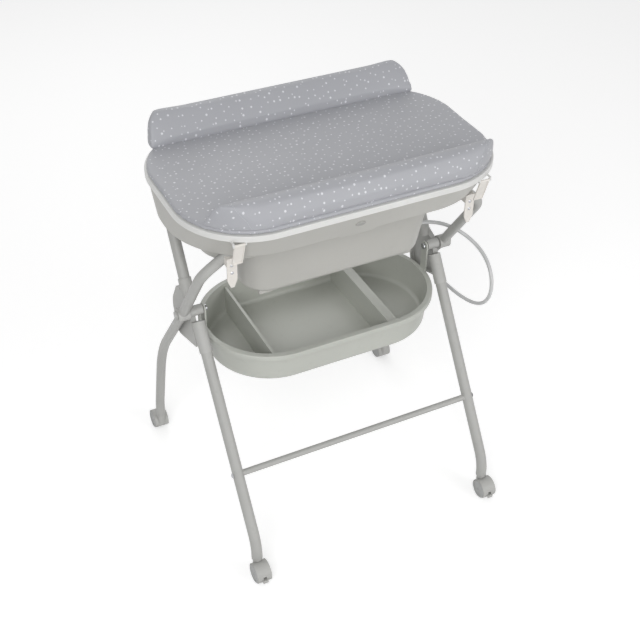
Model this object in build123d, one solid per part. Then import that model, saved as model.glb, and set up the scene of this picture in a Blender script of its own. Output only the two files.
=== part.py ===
from build123d import *
import math
import os

os.makedirs("parts", exist_ok=True)

# Millimetres. X runs along the table, Y from front to back, Z up from the floor.
# The origin lies on the floor under the middle of the standing table.

# Driving dimensions of the whole table
top_length = 800.0
top_depth = 500.0
top_corner_r = 181.0
top_height = 949.0
bath_centre_y = 35.0
foot_y = 300.0
foot_height = 57.0
pivot_y = 38.0
pivot_z = 603.0
front_plane_inset = 67.0
rear_plane_inset = 34.0

# Clearances and cuts
half_turn = 180.0
seat_gap = 0.3
running_gap = 0.05
overrun = 2.0

# Straight front legs and the tube hoop that they carry at the back
leg_r = 14.0
leg_wall = 1.2
leg_knee_z = 97.0
leg_knee_r = 118.0
leg_end_z = 575.0
hoop_foot_y = 78.0
hoop_foot_z = 612.0
hoop_elbow_inset = 22.0
hoop_elbow_z = 806.0
hoop_shoulder_inset = 116.0
hoop_elbow_r = 80.0

# Curved rear legs and the tube hoop that they carry at the front
bow_r = 12.5
bow_wall = 1.2
bow_knee_z = 97.0
bow_knee_r = 190.0
bow_calf_y = 236.0
bow_calf_z = 345.0
bow_calf_r = 430.0
bow_splice_z = 533.0
bow_elbow_inset = 38.0
bow_elbow_z = 806.0
bow_shoulder_inset = 116.0
bow_pivot_bend_r = 280.0
bow_elbow_r = 66.0
rail_inset = 72.0

# Crossbar between the front legs
crossbar_r = 8.0
crossbar_wall = 1.0
crossbar_z = 254.0
crossbar_plug_length = 22.0
crossbar_bolt_r = 3.0
crossbar_head_r = 7.5
crossbar_head_height = 4.0

# Plastic knuckles that join front leg, pivot and rear hoop
knuckle_size = 130.0
knuckle_corner_shares = [(-0.3, -0.64), (0.74, -0.99), (0.97, -0.36), (0.6, 0.28), (0.08, 0.08)]
knuckle_round_shares = [0.05, 0.17, 0.45, 0.2, 0.08]
knuckle_plate = 14.0
knuckle_skin = 3.0
knuckle_rim = 5.0
knuckle_sleeve_wall = 2.3
knuckle_leg_sleeve = 78.0
knuckle_hoop_sleeve = 58.0
knuckle_boss_r = 13.0
knuckle_lap = 6.0

# Pivot pins, washers, hubs and caps
pin_r = 4.0
pin_head_r = 8.0
pin_head_length = 4.0
pin_inner_inset = 28.0
washer_r = 10.0
washer_length = 1.2
hub_r = 18.0
hub_length = 30.0
cap_r = 11.0
cap_length = 4.5

# Small screws
screw_head_r = 4.2
screw_head_height = 2.0
splice_screw_pitch = 22.0
spigot_length = 60.0
spigot_wall = 1.5

# Twin-wheel casters
wheel_r = 25.0
wheel_width = 15.0
wheel_inner_x = 5.5
wheel_bore_r = 3.0
wheel_edge_r = 3.0
wheel_dish = 1.5
wheel_dish_r = 19.0
wheel_trail = 22.0
hood_gap = 0.8
hood_wall = 1.4
hood_half_width = 19.0
hood_web = 4.5
hood_floor_z = 9.0
neck_r = 11.0
neck_top_gap = 1.0
stem_r = 4.5
stem_length = 48.0
stem_grip = 9.0
stem_tip_chamfer = 1.2
socket_flange = 1.5
socket_length = 38.0
axle_overhang = 1.0
lever_half_width = 3.2
lever_slot_half_width = 4.2
lever_pivot_reach = 15.0
lever_pivot_z = 18.0
lever_thickness = 5.0
lever_reach = 32.0
lever_pad_half_width = 7.0
lever_pad_length = 3.5
lever_pad_height = 9.0
lever_pin_r = 1.5
lever_root_r = 3.6
lever_slot_top_z = 30.0

# Changing board
board_height = 14.0
board_skin = 3.0
board_wall = 3.2
board_edge_r = 2.0
board_rib = 2.4
board_rib_pitch = 130.0

# Padded mat on the board
mat_inset = 2.5
mat_height = 11.0
mat_edge_r = 4.0
mat_seam_width = 1.5
mat_seam_depth = 1.0
front_bolster_depth = 80.0
front_bolster_ridge_depth = 48.0
front_bolster_height = 60.0
back_bolster_depth = 71.5
back_bolster_ridge_depth = 21.5
back_bolster_height = 70.0
bolster_inset = 2.5
bolster_ridge_width = 18.0
back_bolster_end_inset = 44.0
back_bolster_plan_r = 60.0
back_bolster_corner_r = 38.0
back_bolster_end_lean = 16.0
bolster_ridge_r = 7.0
bolster_crown = 5.0
bolster_back_crown = 3.0

# Bath tub
tub_rim_inset_x = 5.0
tub_rim_inset_y = 7.0
tub_rim_thickness = 3.5
tub_wall = 3.0
skirt_flare = 2.5
skirt_taper = 30.5
skirt_low_flat = 1.5
skirt_full_height = 67.0
skirt_height = 59.0
lobe_half_width = 52.0
lobe_centre_x = -14.0
lobe_flank = 14.0
notch_centre_x = 133.0
notch_half_width = 19.0
notch_flank = 9.0
notch_height = 15.0
deep_floor_z = 702.0
deep_end_inset = 120.0
deep_side_inset = 100.0
deep_top_corner_r = 100.0
deep_top_centre_x = 5.0
deep_end_taper = 48.0
deep_side_taper = 16.0
deep_low_corner_r = 62.0
deep_low_centre_x = -11.0
deep_edge_r = 16.0
shallow_floor_z = 808.0
shallow_top_half_length = 155.0
shallow_side_inset = 108.0
shallow_top_flat = 46.0
shallow_end_inset = 55.0
shallow_end_taper = 20.0
shallow_side_taper = 14.0
shallow_low_flat = 44.0
shallow_low_shift = -5.0
shallow_edge_r = 12.0
tub_foot_length = 34.0
tub_foot_depth = 16.0
tub_foot_height = 8.0
tub_foot_inset_x = 45.0
tub_foot_inset_y = 16.0
tub_foot_edge_r = 4.0
guide_x = 110.0
guide_half_length = 15.0
guide_half_depth = 20.0
guide_height = 26.0
button_half_length = 12.0
button_half_height = 8.0
button_height = 2.0
button_drop = 30.0
button_centre_x = -16.0
button_slot_half_length = 7.0
button_slot_half_height = 1.6

# Drain, plug and hose
drain_end_inset = 56.0
drain_flange_r = 19.0
drain_flange_height = 2.0
drain_neck_r = 12.0
drain_bore_r = 8.0
drain_neck_depth = 27.0
drain_floor = 3.0
spout_r = 7.0
spout_bore_r = 3.4
spout_length = 40.0
spout_drop = 16.0
plug_head_r = 14.0
plug_head_height = 3.5
plug_stem_depth = 14.0
plug_pull_r = 6.0
plug_pull_wire_r = 1.3
hose_r = 5.0
stopper_r = 7.2
stopper_length = 15.0
stopper_edge_r = 1.8
hose_run_share = 0.45

# Hinges at the back of the board
lid_hinge_inset = 39.0
lid_axis_out = 9.0
lid_axis_drop = 5.0
lid_knuckle_r = 6.0
lid_knuckle_half_width = 11.0
lid_cheek_width = 5.0
lid_side_gap = 0.5
lid_pin_r = 2.5

# Straps that latch the board to the front hoop
strap_end_inset = 93.0
strap_width = 25.0
strap_thickness = 2.5
strap_length = 62.0
strap_axis_inset = 19.5
strap_axis_drop = 5.5
strap_slope = 18.0
strap_knuckle_r = 3.2
strap_pin_r = 1.4
strap_lug_width = 3.0
strap_lug_reach = 14.0
strap_edge_rib = 1.2
strap_edge_rib_width = 2.5
strap_lip_height = 4.0

# Plates on the front hoop that the straps close on
plate_front_inset = 68.0
plate_thickness = 3.0
plate_width = 24.0
plate_top_z = 865.0
plate_shoulder_z = 806.0
plate_tip_z = 787.0
plate_tip_width = 8.0
plate_block_height = 22.0
plate_screw_pitch = 20.0
plate_screw_top_z = 846.0

# Storage tray
tray_centre_y = 44.0
tray_end_reach = 9.0
tray_half_depth = 181.0
tray_end_flat = 3.0
tray_rim_z = 530.0
tray_rim_width = 11.0
tray_rim_height = 13.0
tray_floor_z = 440.0
tray_wall = 3.0
tray_draft = 7.0
tray_edge_r = 14.0
divider_left_inset = 124.0
divider_left_width = 7.0
divider_right_inset = 179.0
divider_right_width = 26.0
divider_drop = 9.0
divider_end_wall = 9.0
ear_width = 26.0
ear_thickness = 4.0
ear_gap = 1.6
tray_rim_edge_r = 3.0

# Values that follow from the driving dimensions
half_length = top_length / 2
half_depth = top_depth / 2
board_low_z = top_height - board_height
tub_top_z = board_low_z - seat_gap
rim_under_z = tub_top_z - tub_rim_thickness
front_rail_y = bath_centre_y - half_depth + rail_inset
front_rail_z = rim_under_z - seat_gap - bow_r
rear_rail_y = bath_centre_y + half_depth - rail_inset
rear_rail_z = rim_under_z - seat_gap - leg_r
front_plane_x = half_length - front_plane_inset
rear_plane_x = half_length - rear_plane_inset
hoop_elbow_y = rear_rail_y - hoop_elbow_inset
hoop_shoulder_x = front_plane_x - hoop_shoulder_inset
bow_elbow_y = front_rail_y + bow_elbow_inset
bow_shoulder_x = rear_plane_x - bow_shoulder_inset
pin_inner_x = front_plane_x - pin_inner_inset
pin_outer_x = rear_plane_x + hub_length / 2 + seat_gap
wheel_outer_x = wheel_inner_x + wheel_width
hood_r = wheel_r + hood_gap + hood_wall
mat_low_z = top_height
mat_top_z = top_height + mat_height
strap_x = half_length - strap_end_inset
plate_front_y = bath_centre_y - half_depth + plate_front_inset
lid_hinge_x = half_length - top_corner_r - lid_hinge_inset
back_bolster_half_length = half_length - back_bolster_end_inset
skirt_low_half_length = half_length - tub_rim_inset_x + skirt_flare
skirt_low_half_depth = half_depth - tub_rim_inset_y - skirt_taper
skirt_low_corner_r = skirt_low_half_depth - skirt_low_flat
deep_top_half_length = half_length - deep_end_inset
deep_top_half_depth = half_depth - deep_side_inset
deep_low_half_length = deep_top_half_length - deep_end_taper
deep_low_half_depth = deep_top_half_depth - deep_side_taper
shallow_top_half_depth = half_depth - shallow_side_inset
shallow_top_corner_r = shallow_top_half_depth - shallow_top_flat
shallow_top_centre_x = shallow_end_inset + shallow_top_half_length - half_length
shallow_low_half_length = shallow_top_half_length - shallow_end_taper
shallow_low_half_depth = shallow_top_half_depth - shallow_side_taper
shallow_low_corner_r = shallow_low_half_depth - shallow_low_flat
shallow_low_centre_x = shallow_top_centre_x + shallow_low_shift
drain_x = deep_low_centre_x + deep_low_half_length - drain_end_inset
tray_half_length = pin_inner_x + tray_end_reach
tray_corner_r = tray_half_depth - tray_end_flat
divider_left_x = divider_left_inset - tray_half_length
divider_right_x = tray_half_length - divider_right_inset


def leg_line_y(z):
    """Depth of the straight front leg's centreline at a height."""
    knee_slope = (pivot_y + foot_y) / (pivot_z - leg_knee_z)
    return pivot_y + (z - pivot_z) * knee_slope


def bow_line_y(z):
    """Depth of the curved leg's centreline between calf and pivot."""
    slope = (bow_calf_y - pivot_y) / (pivot_z - bow_calf_z)
    return pivot_y + (pivot_z - z) * slope


def swept(points, radii, outer_r, inner_r=0):
    """Round bar or tube along straight runs joined by arcs."""
    path = FilletPolyline(*points, radius=radii) if radii else Polyline(*points)
    section = Circle(outer_r)
    if inner_r:
        section -= Circle(inner_r)
    start = Plane(origin=path @ 0, z_dir=path % 0)
    return sweep(start * section, path)


def rod(start, end, radius, bore=0):
    """Straight round bar between two points, with an optional bore."""
    axis = Vector(*end) - Vector(*start)
    plane = Plane(origin=start, z_dir=axis)
    section = Circle(radius)
    if bore:
        section -= Circle(bore)
    return extrude(plane * section, axis.length)


def block(low, high):
    """Box between two opposite corners."""
    size = Vector(*high) - Vector(*low)
    centre = (Vector(*high) + Vector(*low)) / 2
    return Pos(centre) * Box(abs(size.X), abs(size.Y), abs(size.Z))


def dome(centre, direction, radius, height):
    """Low round screw head that stands on a surface."""
    sphere_r = (radius**2 + height**2) / (2 * height)
    plane = Plane(origin=centre, z_dir=direction)
    ball = Pos(0, 0, height - sphere_r) * Sphere(sphere_r)
    return plane * (ball & extrude(Circle(radius), height))


def both_sides(make):
    """A piece made at the left and at the right."""
    return [make(-1), make(1)]


def save(name, *solids):
    """Write one node from one or several separate solids."""
    pieces = [piece for solid in solids for piece in solid.solids()]
    export_step(pieces[0] if len(pieces) == 1 else Compound(pieces), f"parts/{name}.step")


def side_name(side):
    return "left" if side < 0 else "right"


# Paths of the frame tubes


def leg_points(side):
    x = side * front_plane_x
    return [(x, -foot_y, foot_height), (x, -foot_y, leg_knee_z), (x, leg_line_y(leg_end_z), leg_end_z)]


def hoop_points():
    x, shoulder = front_plane_x, hoop_shoulder_x
    left = [
        (-x, hoop_foot_y, hoop_foot_z),
        (-x, hoop_elbow_y, hoop_elbow_z),
        (-shoulder, rear_rail_y, rear_rail_z),
    ]
    return left + [(-px, y, z) for px, y, z in reversed(left)]


def bow_leg_points(side):
    x = side * rear_plane_x
    return [
        (x, foot_y, foot_height),
        (x, foot_y, bow_knee_z),
        (x, bow_calf_y, bow_calf_z),
        (x, bow_line_y(bow_splice_z), bow_splice_z),
    ]


def bow_hoop_points():
    x, shoulder = rear_plane_x, bow_shoulder_x
    left = [
        (-x, bow_line_y(bow_splice_z), bow_splice_z),
        (-x, pivot_y, pivot_z),
        (-x, bow_elbow_y, bow_elbow_z),
        (-shoulder, front_rail_y, front_rail_z),
    ]
    return left + [(-px, y, z) for px, y, z in reversed(left)]


hoop_radii = [hoop_elbow_r] * 4
bow_hoop_radii = [bow_pivot_bend_r] + [bow_elbow_r] * 4 + [bow_pivot_bend_r]


def pin_hole(side, radius):
    x = side * pin_inner_x
    end = side * (pin_outer_x + cap_length)
    return rod((x, pivot_y, pivot_z), (end, pivot_y, pivot_z), radius)


# Front frame


def front_leg(side):
    leg = swept(leg_points(side), [leg_knee_r], leg_r, leg_r - leg_wall)
    return leg - crossbar_bolt(side, crossbar_bolt_r)


def crossbar_centre(x):
    return (x, leg_line_y(crossbar_z), crossbar_z)


def crossbar_bolt(side, radius):
    outer = side * (front_plane_x + leg_r)
    inner = side * (front_plane_x - leg_r - crossbar_plug_length)
    return rod(crossbar_centre(inner), crossbar_centre(outer), radius)


def crossbar():
    ends = crossbar_centre(-front_plane_x), crossbar_centre(front_plane_x)
    bar = rod(*ends, crossbar_r, crossbar_r - crossbar_wall)
    for side in (-1, 1):
        bar -= swept(leg_points(side), [leg_knee_r], leg_r)
    return bar


def crossbar_plug(side):
    outer = side * (front_plane_x - leg_r - crossbar_wall)
    inner = side * (front_plane_x - leg_r - crossbar_plug_length)
    return rod(crossbar_centre(inner), crossbar_centre(outer), crossbar_r - crossbar_wall, crossbar_bolt_r)


def crossbar_bolt_with_head(side):
    head_place = crossbar_centre(side * (front_plane_x + leg_r))
    return crossbar_bolt(side, crossbar_bolt_r) + dome(
        head_place, (side, 0, 0), crossbar_head_r, crossbar_head_height
    )


def hoop_solid():
    return swept(hoop_points(), hoop_radii, leg_r)


def rear_hoop():
    return swept(hoop_points(), hoop_radii, leg_r, leg_r - leg_wall)


def hoop_sleeve_ends(side):
    x = side * front_plane_x
    run = Vector(0, hoop_elbow_y - hoop_foot_y, hoop_elbow_z - hoop_foot_z).normalized()
    low = Vector(x, hoop_foot_y, hoop_foot_z) - run * knuckle_lap
    return tuple(low), tuple(low + run * knuckle_hoop_sleeve)


def leg_sleeve_ends(side):
    x = side * front_plane_x
    run = Vector(0, pivot_y + foot_y, pivot_z - leg_knee_z).normalized()
    high = Vector(x, leg_line_y(leg_end_z), leg_end_z) + run * knuckle_lap
    return tuple(high - run * knuckle_leg_sleeve), tuple(high)


def knuckle_outline():
    """Rounded D of the plate, in depth and height."""
    corners = [(pivot_y + y * knuckle_size, pivot_z + z * knuckle_size) for y, z in knuckle_corner_shares]
    face = make_face(Plane.YZ * Polyline(*corners, close=True))
    for (y, z), share in zip(corners, knuckle_round_shares):
        corner = face.vertices().sort_by_distance((0, y, z))[0]
        face = fillet(corner, share * knuckle_size)
    return face


def knuckle(side):
    """D-shaped shell with sleeves for both tubes and a boss for the pivot pin."""
    outer_x = front_plane_x + leg_r + knuckle_sleeve_wall
    inner_x = outer_x - knuckle_plate
    sleeve_r = leg_r + knuckle_sleeve_wall
    outline = knuckle_outline()
    hollow = offset(outline, -knuckle_rim)
    hollow_depth = knuckle_plate - knuckle_skin + overrun
    out = (side, 0, 0)
    body = Pos(side * inner_x, 0, 0) * extrude(outline, knuckle_plate, dir=out)
    body -= Pos(side * (inner_x - overrun), 0, 0) * extrude(hollow, hollow_depth, dir=out)
    body += rod(*leg_sleeve_ends(side), sleeve_r)
    body += rod(*hoop_sleeve_ends(side), sleeve_r)
    boss_inner = side * (front_plane_x - sleeve_r)
    body += rod((boss_inner, pivot_y, pivot_z), (side * outer_x, pivot_y, pivot_z), knuckle_boss_r)
    body -= swept(leg_points(side), [leg_knee_r], leg_r)
    body -= hoop_solid()
    return body - pin_hole(side, pin_r)


def pivot_pin(side):
    head_end = side * (pin_inner_x + pin_head_length)
    pin = pin_hole(side, pin_r)
    return pin + rod((side * pin_inner_x, pivot_y, pivot_z), (head_end, pivot_y, pivot_z), pin_head_r)


def pivot_washer(side):
    inner = side * (front_plane_x + leg_r + knuckle_sleeve_wall)
    outer = inner + side * washer_length
    return rod((inner, pivot_y, pivot_z), (outer, pivot_y, pivot_z), washer_r, pin_r)


def pivot_cap(side):
    inner = side * pin_outer_x
    return rod((inner, pivot_y, pivot_z), (inner + side * cap_length, pivot_y, pivot_z), cap_r, pin_r)


def foot_socket(points, radii, tube_r, tube_wall):
    """Plug in the tube's lower end with a flange and a bore for the caster's stem."""
    x, y, end_z = points[0]
    top_z = end_z + socket_length
    limit = block((x - tube_r, y - tube_r, end_z), (x + tube_r, y + tube_r, top_z))
    inner = swept(points, radii, tube_r - tube_wall) & limit
    flange = rod((x, y, end_z - socket_flange), (x, y, end_z), tube_r)
    low, high = (x, y, end_z - socket_flange - overrun), (x, y, top_z + overrun)
    return inner + flange - rod(low, high, stem_r + running_gap)


def front_socket(side):
    return foot_socket(leg_points(side), [leg_knee_r], leg_r, leg_wall)


def rear_socket(side):
    return foot_socket(bow_leg_points(side), [bow_knee_r, bow_calf_r], bow_r, bow_wall)


# Rear frame


def rear_leg(side):
    return swept(bow_leg_points(side), [bow_knee_r, bow_calf_r], bow_r, bow_r - bow_wall)


def front_hoop():
    hoop = swept(bow_hoop_points(), bow_hoop_radii, bow_r, bow_r - bow_wall)
    for side in (-1, 1):
        hoop -= pin_hole(side, pin_r + running_gap)
    return hoop


def splice_spot(side, along):
    """Point on the curved leg's centreline, measured up from the splice."""
    x = side * rear_plane_x
    run = Vector(0, pivot_y - bow_calf_y, pivot_z - bow_calf_z).normalized()
    return Vector(x, bow_line_y(bow_splice_z), bow_splice_z) + run * along


def leg_spigot(side):
    outer = bow_r - bow_wall
    low = splice_spot(side, -spigot_length / 2)
    high = splice_spot(side, spigot_length / 2)
    return rod(tuple(low), tuple(high), outer, outer - spigot_wall)


def splice_screw_pair(side):
    out = Vector(side, 0, 0)
    heads = []
    for along in (-splice_screw_pitch, splice_screw_pitch):
        seat = splice_spot(side, along) + out * bow_r
        heads.append(dome(tuple(seat), (side, 0, 0), screw_head_r, screw_head_height))
    return Compound(heads)


def pivot_hub(side):
    inner = side * (rear_plane_x - hub_length / 2)
    outer = side * (rear_plane_x + hub_length / 2)
    hub = rod((inner, pivot_y, pivot_z), (outer, pivot_y, pivot_z), hub_r)
    hub -= swept(bow_hoop_points(), bow_hoop_radii, bow_r)
    hub -= pin_hole(side, pin_r + running_gap)
    return Compound(hub.solids())


def latch_plate(side):
    """Pointed plate in front of the hoop's inward run, with a block behind it."""
    x = side * strap_x
    half, tip = plate_width / 2, plate_tip_width / 2
    outline = Polyline(
        (x - half, plate_top_z),
        (x - half, plate_shoulder_z),
        (x - tip, plate_tip_z),
        (x + tip, plate_tip_z),
        (x + half, plate_shoulder_z),
        (x + half, plate_top_z),
        close=True,
    )
    face = make_face(Plane.XZ * outline)
    plate = Pos(0, plate_front_y + plate_thickness, 0) * extrude(face, plate_thickness)
    back = bow_tube_centre(x)
    low_z = plate_top_z - plate_block_height
    saddle = block((x - half, plate_front_y + plate_thickness, low_z), (x + half, back.Y, plate_top_z))
    saddle -= swept(bow_hoop_points(), bow_hoop_radii, bow_r)
    saddle = saddle.solids().sort_by(Axis.Y)[0]
    return plate + saddle


def bow_tube_centre(x):
    """Centre of the front hoop's sloping inward run at a distance along X."""
    share = (rear_plane_x - abs(x)) / (rear_plane_x - bow_shoulder_x)
    y = bow_elbow_y + (front_rail_y - bow_elbow_y) * share
    z = bow_elbow_z + (front_rail_z - bow_elbow_z) * share
    return Vector(x, y, z)


def plate_screw_pair(side):
    seats = [plate_screw_top_z, plate_screw_top_z - plate_screw_pitch]
    return Compound(
        [dome((side * strap_x, plate_front_y, z), (0, -1, 0), screw_head_r, screw_head_height) for z in seats]
    )


# Casters


def caster_places():
    places = []
    for depth, plane_x, rank in ((-1, front_plane_x, "front"), (1, rear_plane_x, "rear")):
        for side in (-1, 1):
            places.append((f"{rank}_{side_name(side)}", side * plane_x, depth * foot_y, depth))
    return places


def caster_frame(x, y, out):
    """Moves a caster made at the wheel's centre line to its stem, trailing outwards."""
    return Pos(x, y + out * wheel_trail, wheel_r) * Rot(0, 0, 0 if out < 0 else half_turn)


def across(radius, inner_x, outer_x, y=0, z=0):
    return rod((inner_x, y, z), (outer_x, y, z), radius)


def caster_hood():
    """Cover over both wheels with a web between them and a neck for the stem."""
    stem_y = wheel_trail
    neck_top = foot_height - socket_flange - neck_top_gap - wheel_r
    shell = across(hood_r, -hood_half_width, hood_half_width)
    neck = rod((0, stem_y, 0), (0, stem_y, neck_top), neck_r)
    hood = shell + neck
    for side in (-1, 1):
        hood -= across(wheel_r + hood_gap, side * hood_web, side * (hood_half_width + overrun))
    hood -= block((-hood_r, -hood_r * 2, -hood_r - overrun), (hood_r, hood_r * 2, hood_floor_z - wheel_r))
    low_back = (-hood_half_width - overrun, 0, -hood_r)
    high_back = (hood_half_width + overrun, hood_r + overrun, -wheel_r + hood_r / 2)
    hood -= block(low_back, high_back)
    slot_top = lever_slot_top_z - wheel_r
    slot_back = -lever_pivot_reach + lever_root_r + hood_gap
    hood -= block(
        (-lever_slot_half_width, -hood_r - overrun, -hood_r), (lever_slot_half_width, slot_back, slot_top)
    )
    hood -= across(wheel_bore_r, -hood_web, hood_web)
    hood -= lever_pin()
    hood -= rod((0, stem_y, neck_top - stem_grip), (0, stem_y, neck_top + overrun), stem_r)
    return hood


def caster_stem():
    neck_top = foot_height - socket_flange - neck_top_gap - wheel_r
    low = neck_top - stem_grip
    stem = rod((0, wheel_trail, low), (0, wheel_trail, low + stem_length), stem_r)
    return chamfer(stem.edges().group_by(Axis.Z)[-1], stem_tip_chamfer)


def caster_axle():
    end = wheel_outer_x - wheel_dish - axle_overhang
    return across(wheel_bore_r, -end, end)


def caster_wheels():
    wheels = []
    for side in (-1, 1):
        wheel = across(wheel_r, side * wheel_inner_x, side * wheel_outer_x)
        wheel = fillet(wheel.edges().filter_by(GeomType.CIRCLE), wheel_edge_r)
        wheel -= across(wheel_dish_r, side * (wheel_outer_x - wheel_dish), side * (wheel_outer_x + overrun))
        wheel -= across(wheel_bore_r + running_gap, side * (wheel_inner_x - overrun), side * wheel_outer_x)
        wheels.append(wheel)
    return Compound(wheels)


def brake_lever():
    """Tab that swings in the slot at the front of the hood."""
    centre_z = lever_pivot_z - wheel_r
    low, high = centre_z - lever_thickness / 2, centre_z + lever_thickness / 2
    arm = block((-lever_half_width, -lever_reach, low), (lever_half_width, -lever_pivot_reach, high))
    root = across(lever_root_r, -lever_half_width, lever_half_width, -lever_pivot_reach, centre_z)
    pad_low = centre_z - lever_pad_height / 2
    pad = block(
        (-lever_pad_half_width, -lever_reach, pad_low),
        (lever_pad_half_width, -lever_reach + lever_pad_length, pad_low + lever_pad_height),
    )
    bore = across(lever_pin_r + running_gap, -hood_web, hood_web, -lever_pivot_reach, centre_z)
    return arm + root + pad - bore


def lever_pin():
    return across(lever_pin_r, -hood_web, hood_web, -lever_pivot_reach, lever_pivot_z - wheel_r)


# Bath tub and what is on it


def plan_face(half_x, half_y, corner_r, centre_x, z):
    return Pos(centre_x, bath_centre_y, z) * RectangleRounded(half_x * 2, half_y * 2, corner_r)


def plan_block(inset_x, inset_y, corner_r, low_z, high_z):
    outline = plan_face(half_length - inset_x, half_depth - inset_y, corner_r, 0, low_z)
    return extrude(outline, high_z - low_z)


def bowl(inset, raise_floor, low, high, floor_z, edge_r):
    """Tapered bowl body between a small floor outline and a larger rim outline."""
    low_half_x, low_half_y, low_r, low_x = low
    high_half_x, high_half_y, high_r, high_x = high
    body = loft(
        [
            plan_face(low_half_x - inset, low_half_y - inset, low_r - inset, low_x, floor_z + raise_floor),
            plan_face(high_half_x - inset, high_half_y - inset, high_r - inset, high_x, rim_under_z),
        ],
        ruled=True,
    )
    return fillet(body.faces().sort_by(Axis.Z)[0].edges(), edge_r - inset)


def tub_body(inset, raise_floor):
    deep = bowl(
        inset,
        raise_floor,
        (deep_low_half_length, deep_low_half_depth, deep_low_corner_r, deep_low_centre_x),
        (deep_top_half_length, deep_top_half_depth, deep_top_corner_r, deep_top_centre_x),
        deep_floor_z,
        deep_edge_r,
    )
    shallow = bowl(
        inset,
        raise_floor,
        (shallow_low_half_length, shallow_low_half_depth, shallow_low_corner_r, shallow_low_centre_x),
        (shallow_top_half_length, shallow_top_half_depth, shallow_top_corner_r, shallow_top_centre_x),
        shallow_floor_z,
        shallow_edge_r,
    )
    return deep + shallow


def skirt_block(inset):
    low_z = rim_under_z - skirt_full_height
    low = plan_face(
        skirt_low_half_length - inset, skirt_low_half_depth - inset, skirt_low_corner_r - inset, 0, low_z
    )
    high = plan_face(
        half_length - tub_rim_inset_x - inset,
        half_depth - tub_rim_inset_y - inset,
        top_corner_r - tub_wall - inset,
        0,
        rim_under_z,
    )
    return loft([low, high], ruled=True)


def front_prism(points):
    """Outline in X and Z carried through the front half of the skirt."""
    face = make_face(Plane.XZ * Polyline(*points, close=True))
    return Pos(0, bath_centre_y, 0) * extrude(face, half_depth)


def tub_apron():
    """Sloping apron with a shallow lobe under the button and a notch beside it."""
    edge_z = rim_under_z - skirt_height
    low_z = rim_under_z - skirt_full_height
    apron = skirt_block(0) - skirt_block(tub_wall)
    reach = half_length + overrun
    trim = block((-reach, bath_centre_y - reach, low_z - overrun), (reach, bath_centre_y + reach, edge_z))
    lobe = front_prism(
        [
            (lobe_centre_x - lobe_half_width, edge_z + overrun),
            (lobe_centre_x - lobe_half_width + lobe_flank, low_z - overrun),
            (lobe_centre_x + lobe_half_width - lobe_flank, low_z - overrun),
            (lobe_centre_x + lobe_half_width, edge_z + overrun),
        ]
    )
    notch = front_prism(
        [
            (notch_centre_x - notch_half_width, edge_z - overrun),
            (notch_centre_x - notch_half_width + notch_flank, edge_z + notch_height),
            (notch_centre_x + notch_half_width - notch_flank, edge_z + notch_height),
            (notch_centre_x + notch_half_width, edge_z - overrun),
        ]
    )
    apron = apron - (trim - lobe) - notch
    for side in (-1, 1):
        for offset in (-1, 1):
            apron -= lid_cheek(side, offset)
    return apron


def tub_foot(side_x, side_y):
    x = deep_low_centre_x + side_x * (deep_low_half_length - tub_foot_inset_x)
    y = bath_centre_y + side_y * (deep_low_half_depth - tub_foot_inset_y - tub_foot_depth / 2)
    foot = Pos(x, y, deep_floor_z) * Box(tub_foot_length, tub_foot_depth, tub_foot_height * 2)
    return fillet(foot.edges().filter_by(Axis.Z), tub_foot_edge_r)


def tub():
    solid = plan_block(
        tub_rim_inset_x, tub_rim_inset_y, top_corner_r - tub_wall, rim_under_z, tub_top_z
    )
    solid += tub_body(0, 0)
    for side_x in (-1, 1):
        for side_y in (-1, 1):
            solid += tub_foot(side_x, side_y)
    inside = tub_body(tub_wall, tub_wall)
    mouth = inside.faces().sort_by(Axis.Z)[-1]
    solid -= inside
    solid -= extrude(mouth, tub_rim_thickness + overrun, dir=(0, 0, 1))
    for side in (-1, 1):
        for offset in (-1, 1):
            solid += lid_cheek(side, offset)
    solid -= lid_pin_hole()
    drain_ends = drain_point(deep_floor_z - overrun), drain_point(deep_floor_z + drain_flange_r)
    return solid - rod(*drain_ends, drain_neck_r)


def rail_guide(side):
    """Cheeks under the rim, before and behind the rear rail, open below."""
    x = side * guide_x
    half = guide_half_length
    low_z = rim_under_z - guide_height
    low = (x - half, rear_rail_y - guide_half_depth, low_z)
    guide = block(low, (x + half, rear_rail_y + guide_half_depth, rim_under_z))
    bore_r = leg_r + seat_gap
    start, end = x - half - overrun, x + half + overrun
    guide -= rod((start, rear_rail_y, rear_rail_z), (end, rear_rail_y, rear_rail_z), bore_r)
    mouth_low = (start, rear_rail_y - bore_r, low_z - overrun)
    return guide - block(mouth_low, (end, rear_rail_y + bore_r, rear_rail_z))


def skirt_front(drop):
    """Plane on the front of the apron, some way down from the rim."""
    high_y = half_depth - tub_rim_inset_y
    lean = Vector(0, high_y - skirt_low_half_depth, -skirt_full_height).normalized()
    origin = Vector(button_centre_x, bath_centre_y - high_y, rim_under_z) + lean * drop
    return Plane(origin=origin, x_dir=(1, 0, 0), z_dir=(0, lean.Z, -lean.Y))


def apron_button():
    plane = skirt_front(button_drop)
    oval = extrude(plane * Ellipse(button_half_length, button_half_height), button_height)
    slot = plane * Ellipse(button_slot_half_length, button_slot_half_height)
    cut = Pos(plane.z_dir * (button_height / 2)) * extrude(slot, button_height)
    return oval - cut


def drain_point(z, x=None):
    return (drain_x if x is None else x, bath_centre_y, z)


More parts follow.
